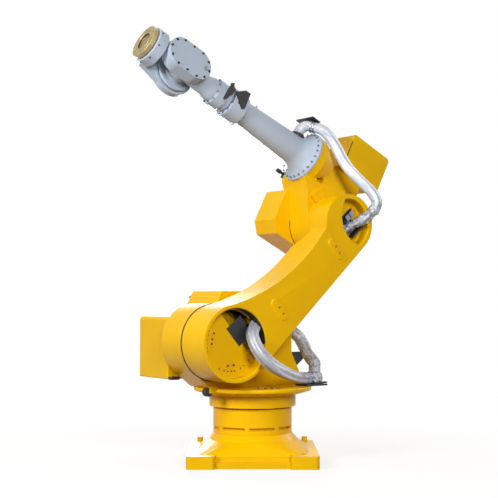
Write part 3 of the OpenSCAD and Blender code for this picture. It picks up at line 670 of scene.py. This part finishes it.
SLEEVE_SIDES = 36
RING_STEP = .007                  # between the rings of a sleeve
ROUTE_STEPS = 10                  # points between two points of a route
THINNEST, WIDEST = .0248, .0435   # reach of a sleeve from its line
FOLD_FADE, WAVE_FADE = .06, .02   # over which folds and crinkles grow from the ends
START_FADE, END_FADE = .12, .14   # over which the start and the end pass into the middle
# Crinkles this high get the finish's full crease bump and its full painted crease shade.
FULL_CRINKLE = .006               # height of crinkles that the finish shows as bunched
PLEATS, CREST = 5, .7             # folds this many to a turn, or more, have sharp crests
WANDER, WANDER_RATE = 3, 2.2      # radians that folds drift, and drifts to a metre
COARSE, FINE, FINE_SHARE = 52, 95, .7   # crinkles to a metre, and the share of fine ones
CHANNEL_SIDE, CHANNEL_FLOOR = -.034, .224
LEAN = radians(-ARM_LEAN)
REAR_WALL = -.250                 # of the shoulder, along X of the carousel
CLAMP = Vector((-.318, .190, .486))  # middle of the hose clamp, in the carousel
CLAMP_REACH = .036
BRIDGE = Vector((.362, .046, .494))  # where the upper hose crosses its bridge, in the elbow
TIE_REACH = .0375


def eased(route, steps):
    """A smooth line through the route, straight at both ends."""
    line = [route[0].copy()]
    for a, b, c, d in zip(route, route[1:], route[2:], route[3:]):
        for k in range(steps):
            t = k / steps
            line.append(.5 * (2 * b + (c - a) * t + (2 * a - 5 * b + 4 * c - d) * t ** 2
                              + (3 * b - a - 3 * c + d) * t ** 3))
    return line + [route[-2].copy(), route[-1].copy()]


def even(line, gap):
    """The same line with its points an even gap apart."""
    points, left = [line[0].copy()], gap
    for a, b in zip(line, line[1:]):
        span = (b - a).length
        while left <= span:
            points.append(a.lerp(b, left / span))
            left += gap
        left -= span
    return points[:-1] + [line[-1].copy()]


def along_channel(u):
    """A point in the hose channel of the lower arm, at a height above the shoulder."""
    return SHOULDER @ Vector((CHANNEL_SIDE * cos(LEAN) - u * sin(LEAN), CHANNEL_FLOOR,
                              CHANNEL_SIDE * sin(LEAN) + u * cos(LEAN)))


def swept_rings(shape, line, run, about):
    """A tube along a line, as its rings; each vertex notes how far along and round it lies."""
    across = Vector((.3, .2, 1))
    rings, last, length = [], None, 0
    for i, point in enumerate(line):
        ahead = (line[min(i + 1, len(line) - 1)] - line[max(i - 1, 0)]).normalized()
        across = (across - ahead * across.dot(ahead)).normalized()
        here = Matrix((across, ahead.cross(across), ahead)).transposed().to_4x4()
        here.translation = point
        if last is None:
            ring = bmesh.ops.create_circle(shape, segments=SLEEVE_SIDES, radius=HOSE_WIDE / 2,
                                           matrix=here)["verts"]
            edges = shape.edges[:]
        else:
            length += (point - line[i - 1]).length
            grown = bmesh.ops.extrude_edge_only(shape, edges=edges)["geom"]
            ring = only(BMVert, grown)
            edges = [e for e in only(BMEdge, grown) if all(v in ring for v in e.verts)]
            bmesh.ops.transform(shape, matrix=here @ last.inverted(), verts=ring)
        back = here.inverted()
        for vert in ring:
            spot = (back @ vert.co).to_2d()
            vert[run] = length
            vert[about] = spot.angle_signed(Vector((1, 0)), 0) % (2 * pi)
        rings.append((ring, point))
        last = here
    return rings


def in_turn(face):
    """A number that puts faces in the order of their lowest and then their highest points."""
    places = [vert.index for vert in face.verts]
    return 1000 * min(places) + max(places)


def sleeve(name, line, folds, crinkles, far, slim):
    """A sleeved hose on its line: a tube with lengthwise folds, crinkled by an amount at its
    start, middle and end. Its start is far metres long, and drawn in by a share of the radius."""
    first, middle, end = crinkles
    total = sum((b - a).length for a, b in zip(line, line[1:]))
    shape = bmesh.new()
    run = shape.verts.layers.float.new("run")
    about = shape.verts.layers.float.new("round")
    crinkled = shape.verts.layers.float.new("crinkled")
    for ring, point in swept_rings(shape, line, run, about):
        for vert in ring:
            s, a = vert[run], vert[about]
            ends = min(s, total - s)
            fold = 0
            for k, size, phase in folds:
                wander = WANDER * noise.noise(Vector((s * WANDER_RATE, k, 0)))
                swing = k * a + phase + wander
                fold += size * (sin(swing) if k < PLEATS else 1 - 2 * abs(sin(swing / 2)) ** CREST)
            fold *= min(1, ends / FOLD_FADE)
            start = max(0, min(1, (far - s) / START_FADE))
            rough = (middle + (first - middle) * start
                     + (end - middle) * max(0, 1 - (total - s) / END_FADE))
            wave = rough * (noise.noise(vert.co * COARSE)
                            + FINE_SHARE * noise.noise(vert.co * FINE))
            reach = HOSE_WIDE / 2 * (1 - slim * start) + fold + wave * min(1, ends / WAVE_FADE)
            vert[crinkled] = min(1, rough / FULL_CRINKLE)
            reach = max(THINNEST, min(WIDEST, reach))
            vert.co = point + (vert.co - point).normalized() * reach
    uv = shape.loops.layers.uv.new("sleeve")
    for face in shape.faces:
        face.smooth = True
        turns = [loop.vert[about] for loop in face.loops]
        wrapped = max(turns) - min(turns) > pi
        for loop, turn in zip(face.loops, turns):
            turn += 2 * pi if wrapped and turn < pi else 0
            loop[uv].uv = (loop.vert[run], turn * HOSE_WIDE / 2)
    # Points and faces go ring by ring, so that they lie in the same order each time.
    shape.verts.sort(key=lambda vert: vert[run] + RING_STEP / 2 * vert[about] / (2 * pi))
    shape.verts.index_update()
    shape.faces.sort(key=in_turn)
    bmesh.ops.recalc_face_normals(shape, faces=shape.faces)
    return placed(name, shape, FOIL, None), total


def by_clamp(x, z):
    return CAROUSEL @ (CLAMP + Vector((x, 0, z)))


lower_route = [along_channel(.2697), along_channel(.200)]
lower_route += [SHOULDER @ Vector((x, ARM_FACE + y, z)) for x, y, z in (
    (-.118, -.024, .058), (-.097, .020, .014), (-.103, .052, -.037), (-.147, .060, -.089),
    (-.214, .050, -.132), (-.306, .018, -.168), (-.414, -.044, -.196))]
lower_route += [by_clamp(.096, 0), by_clamp(CLAMP_REACH, 0)]
rear_route = [CAROUSEL @ Vector((REAR_WALL + x, y, z)) for x, y, z in (
    (0, 0, .752), (-.040, 0, .752), (-.074, .026, .722), (-.084, .064, .672),
    (-.080, .110, .622), (-.074, .154, .590))]
rear_route += [by_clamp(0, .086), by_clamp(0, CLAMP_REACH)]
upper_route = [along_channel(.909), along_channel(.979), along_channel(1.049)]
upper_route += [ELBOW @ Vector((x, ARM_FACE + y, z)) for x, y, z in (
    (-.046, -.046, .014), (-.069, 0, .062), (-.090, .040, .116), (-.095, .058, .166),
    (-.077, .054, .206), (-.034, .030, .243), (.030, -.008, .273), (.105, -.048, .309),
    (.164, -.084, .357), (.216, -.116, .414), (.269, -.150, .464), (.315, -.183, .489),
    (.352, -.232, .495), (.389, -.270, .487))]
upper_route += [ELBOW @ Vector((.402, 0, .445)), ELBOW @ Vector((.402, 0, .4203))]

# Each row: name and route, folds as (number to a turn, height, phase), crinkles at start, middle
# and end, length and narrowing of the start, and the bodies that it crosses between.
HOSES = [
    ("lower_hose", lower_route, [(2, .004, .4), (3, .0032, 1.7), (6, .0046, .2), (11, .0026, 2.1)],
     (.003, .0014, .006), .10, 0, ("lower_arm_body", "carousel")),
    ("rear_hose", rear_route, [(2, .002, 1.1), (4, .002, .3), (7, .0014, 1.9)],
     (.003, .003, .005), .10, 0, None),
    ("upper_hose", upper_route, [(2, .0018, .9), (4, .0014, 2.2), (7, .0008, .1)],
     (.0075, .0004, .002), .47, .13, ("lower_arm_body", "upper_arm")),
]
lines = {}
for name, route, folds, crinkles, far, slim, crossing in HOSES:
    line = lines[name] = even(eased(route, ROUTE_STEPS), RING_STEP)
    hose, length = sleeve(name + "_sleeve", line, folds, crinkles, far, slim)
    if crossing:
        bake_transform(hose)
    else:
        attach(hose, "carousel")
    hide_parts(name)


def band(name, body, line, index):
    """A flat tie round a hose at one of its points."""
    ahead = (line[index + 1] - line[index - 1]).normalized()
    spot = facing(FLOOR, line[index], ahead)
    outline = lipped(TIE_REACH - .003, TIE_REACH, TIE_REACH + .001, -.005, .005)
    turned_ring(name, body, ZINC, spot, Z_AXIS, outline)


upper_line = lines["upper_hose"]
near = min(range(len(upper_line)), key=lambda i: (upper_line[i] - ELBOW @ BRIDGE).length)
band("bridge_tie_low", "upper_arm", upper_line, near - 3)
band("bridge_tie_high", "upper_arm", upper_line, near)


def knot():
    """The wrapped lump where the two hoses meet on their shelf."""
    # The whole lump is marked .9 crinkled: a strong crease bump and painted crease shade.
    radius, underside, bunched = .047, -.0355, .9
    shape = bmesh.new()
    bmesh.ops.create_icosphere(shape, subdivisions=5, radius=radius)
    for vert in shape.verts:
        small = .004 * noise.noise(vert.co * 90 + Vector((3, 1, 2)))
        vert.co += vert.co.normalized() * (.006 * noise.noise(vert.co * 42) + small)
        vert.co.z = max(vert.co.z, underside)
        vert.co = CAROUSEL @ (CLAMP + vert.co)
    crinkled = shape.verts.layers.float.new("crinkled")
    for vert in shape.verts:
        vert[crinkled] = bunched
    uv = shape.loops.layers.uv.new("sleeve")
    for face in shape.faces:
        face.smooth = True
        for loop in face.loops:
            loop[uv].uv = (loop.vert.co.x, loop.vert.co.z)
    piece = placed("hose_knot", shape, FOIL, "carousel")
    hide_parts("hose_clamp")


knot()


# Studio ----------------------------------------------------------------------

FLOOR_REACH = 14
FADE_START, FADE_END = .6, 2.6   # distance over which the floor passes into white
SHADOW_SHARE = .72               # share of white in the floor under the part
FILL = .2                        # strength of the background as a light
LENS, SENSOR = 82.05, 36         # in millimetres
CAMERA_SPOT = (.041, 6.75, .972)
CAMERA_TILT, CAMERA_TURN = .041, -.003   # in radians, up and aside from straight ahead

# Name, place, height of the point on the middle line that it lights, width, and power in watts.
LAMPS = [
    ("key_softbox", (3.4, 3.4, 2.9), 1.1, 1.6, 200),
    ("front_softbox", (-1.6, 6.0, 3.2), 1.3, 2.2, 285),
    ("top_softbox", (.4, -.8, 5.0), 1.0, 2.4, 20),
    ("rim_softbox", (-3.2, -2.6, 3.0), 1.2, 2.0, 60),
    ("rear_softbox", (1.0, -5.6, 1.9), 1.2, 2.2, 190),
]


def seen_rays(tree):
    """1 for the rays that see the studio: from the camera, off a gloss or through a surface."""
    rays = add(tree, "ShaderNodeLightPath").outputs
    eyes = maths(tree, "MAXIMUM", rays["Is Camera Ray"], rays["Is Glossy Ray"])
    return maths(tree, "MAXIMUM", eyes, rays["Is Transmission Ray"])


def studio_floor():
    """White paper that takes a faint shadow, and throws a warm dim light back on the part."""
    shape = bmesh.new()
    bmesh.ops.create_grid(shape, x_segments=1, y_segments=1, size=FLOOR_REACH)
    finish, tree, place = new_finish("pale_studio_paper")
    seen = seen_rays(tree)
    away = add(tree, "ShaderNodeVectorMath", {0: place["Object"]}, operation="LENGTH")
    fade = ranged(tree, away.outputs["Value"], SHADOW_SHARE, 1, FADE_START, FADE_END,
                  interpolation_type="SMOOTHSTEP")
    shade = mixed(tree, seen, "#7A6A58", "#F6F6F6")
    paper = add(tree, "ShaderNodeBsdfDiffuse", {"Color": shade}).outputs[0]
    white = add(tree, "ShaderNodeEmission", {"Color": linear("#FFFFFF"), "Strength": 1}).outputs[0]
    share = maths(tree, "MULTIPLY", seen, fade)
    both = add(tree, "ShaderNodeMixShader", {0: share, 1: paper, 2: white}).outputs[0]
    add(tree, "ShaderNodeOutputMaterial", {"Surface": both})
    placed("studio_floor", shape, finish, None)


def studio_background():
    """White where it is seen, and a dim warm fill as a light."""
    world = bpy.data.worlds.new("white_studio")
    world.use_nodes = True
    tree = world.node_tree
    tree.nodes.clear()
    seen = seen_rays(tree)
    light = add(tree, "ShaderNodeBackground", {"Color": mixed(tree, seen, "#FFE6D0", "#FFFFFF"),
                                               "Strength": ranged(tree, seen, FILL, 1)})
    add(tree, "ShaderNodeOutputWorld", {"Surface": light.outputs[0]})
    bpy.context.scene.world = world


def studio_lamps():
    for name, spot, height, width, power in LAMPS:
        lamp = bpy.data.lights.new(name, "AREA")
        lamp.size = width
        lamp.energy = power
        holder = linked(name, lamp)
        holder.location = spot
        aim = Vector((0, 0, height)) - Vector(spot)
        holder.rotation_euler = aim.to_track_quat("-Z", "Y").to_euler()


def photo_camera():
    """The photograph's own view of the part."""
    eye = bpy.data.cameras.new("photo_camera")
    eye.lens = LENS
    eye.sensor_width = SENSOR
    camera = linked("photo_camera", eye)
    camera.location = CAMERA_SPOT
    camera.rotation_euler = (pi / 2 + CAMERA_TILT, 0, pi + CAMERA_TURN)
    bpy.context.scene.camera = camera
    bpy.context.scene.view_settings.view_transform = "Standard"


studio_floor()
studio_background()
studio_lamps()
photo_camera()
